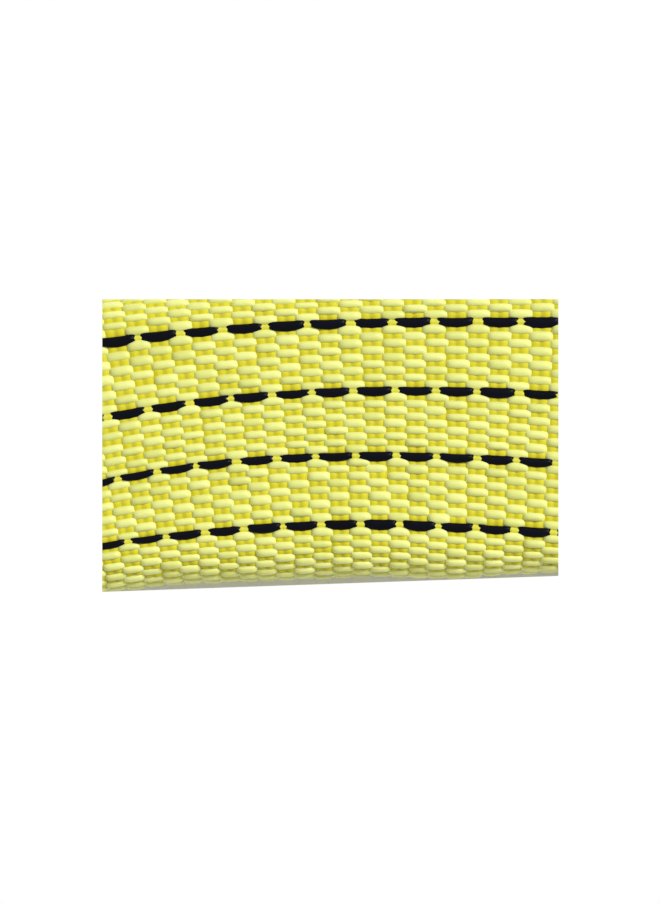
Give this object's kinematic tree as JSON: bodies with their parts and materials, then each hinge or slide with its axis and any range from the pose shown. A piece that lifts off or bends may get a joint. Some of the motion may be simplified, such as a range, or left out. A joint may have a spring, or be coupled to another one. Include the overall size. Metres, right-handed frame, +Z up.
{
  "type": "round sling",
  "caption": "Endless round sling for lifting: a woven tubular sleeve with marker yarns over a hank core, lying open as an oval loop, with a blank sewn label.",
  "frame": {"origin": "on the floor under the middle of the loop's plan", "axes": "+X along the loop's longer plan axis, towards the right bight; +Y away from the seam and label, towards the plain far side; +Z up"},
  "size_m": [0.732, 0.657, 0.0164],
  "materials": {
    "sleeve": "plain-woven polyester multifilament, slight sheen",
    "marker_yarn": "black polyester multifilament",
    "core_yarn": "undyed polyester yarn bundles",
    "tie_tape": "thin white cloth tape",
    "sewing_thread": "twisted polyester thread",
    "label_cloth": "fine woven polyester",
    "label_film": "clear flexible film"
  },
  "bodies": {
    "middle": {"sleeve_far_middle": "sleeve", "sleeve_hem_stretch": "sleeve", "sleeve_tucked_stretch": "sleeve", "marker_yarns_far_middle": "marker_yarn", "marker_yarns_hem_stretch": "marker_yarn", "marker_yarns_tucked_stretch": "marker_yarn", "core_upper_turns_far": "core_yarn", "core_upper_turns_near": "core_yarn", "core_lower_turns_far": "core_yarn", "core_lower_turns_near": "core_yarn", "core_edge_turns_far": "core_yarn", "core_edge_turns_near": "core_yarn", "core_ties_far": "tie_tape", "core_ties_near": "tie_tape", "seam_stitches_upper": "sewing_thread", "seam_stitches_lower": "sewing_thread", "label_lead": "label_cloth"},
    "left_bight": {"sleeve_left_bight": "sleeve", "marker_yarns_left_bight": "marker_yarn", "core_upper_turns_left": "core_yarn", "core_lower_turns_left": "core_yarn", "core_edge_turns_left": "core_yarn", "core_ties_left": "tie_tape"},
    "right_bight": {"sleeve_right_bight": "sleeve", "marker_yarns_right_bight": "marker_yarn", "core_upper_turns_right": "core_yarn", "core_lower_turns_right": "core_yarn", "core_edge_turns_right": "core_yarn", "core_ties_right": "tie_tape"},
    "label": {"label_tag": "label_cloth", "label_cover": "label_film", "label_stitches": "sewing_thread"}
  },
  "joints": [
    {"name": "left_bight_lift", "type": "hinge", "parent": "middle", "child": "left_bight", "pos_m": [-0.15, 0, 0.014], "axis": [0, 1, 0], "range_deg": [0, 100]},
    {"name": "right_bight_lift", "type": "hinge", "parent": "middle", "child": "right_bight", "pos_m": [0.15, 0, 0.014], "axis": [0, -1, 0], "range_deg": [0, 100]},
    {"name": "label_flip", "type": "hinge", "parent": "middle", "child": "label", "pos_m": [0.04587, -0.29889, 0.0168], "axis": [0.1314, -0.9913, 0], "range_deg": [0, 165]}
  ]
}
